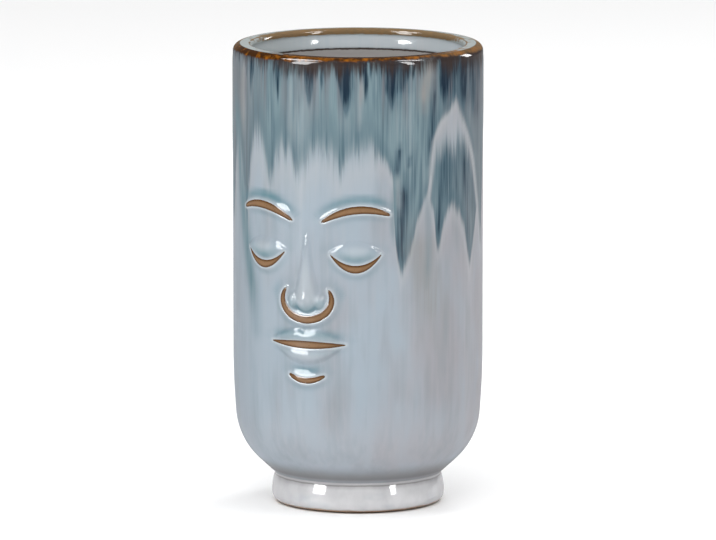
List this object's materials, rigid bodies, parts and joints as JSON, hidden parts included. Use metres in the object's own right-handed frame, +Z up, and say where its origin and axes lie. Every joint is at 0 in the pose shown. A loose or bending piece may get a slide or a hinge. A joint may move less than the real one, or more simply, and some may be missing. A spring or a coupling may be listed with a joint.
{
  "type": "cylindrical vase",
  "caption": "Glazed stoneware vase: straight cylinder with a soft heel on a narrow foot ring, a thick collar at the mouth and a calm face in low relief.",
  "frame": {"origin": "on the table, at the centre of the foot ring", "axes": "+Z up along the vase's axis, -Y the front, with the face turned 24 degrees to the left of it, +X to the right of someone who looks at the front"},
  "size_m": [0.1356, 0.1377, 0.25],
  "materials": {
    "bare_clay": "caramel-brown stoneware, satin",
    "pale_glaze": "pale blue-grey glaze, glossy",
    "blue_glaze": "slate-blue glaze with brown streaks, glossy",
    "iron_glaze": "iron-brown glaze, glossy",
    "liner_glaze": "pale grey glaze, glossy",
    "foot_glaze": "whitish glaze, glossy"
  },
  "bodies": {
    "root": {"clay_body": "bare_clay", "foot_ring": "bare_clay", "outer_glaze": "pale_glaze", "drip_glaze": "blue_glaze", "rim_glaze": "iron_glaze", "liner_glaze": "liner_glaze", "foot_glaze": "foot_glaze", "recess_glaze": "foot_glaze", "brow_left": "bare_clay", "brow_right": "bare_clay", "eyelid_left": "pale_glaze", "eyelid_right": "pale_glaze", "lash_left": "bare_clay", "lash_right": "bare_clay", "nose": "pale_glaze", "nose_line": "bare_clay", "upper_lip": "pale_glaze", "lower_lip": "pale_glaze", "mouth_line": "bare_clay", "chin_line": "bare_clay"}
  },
  "joints": []
}
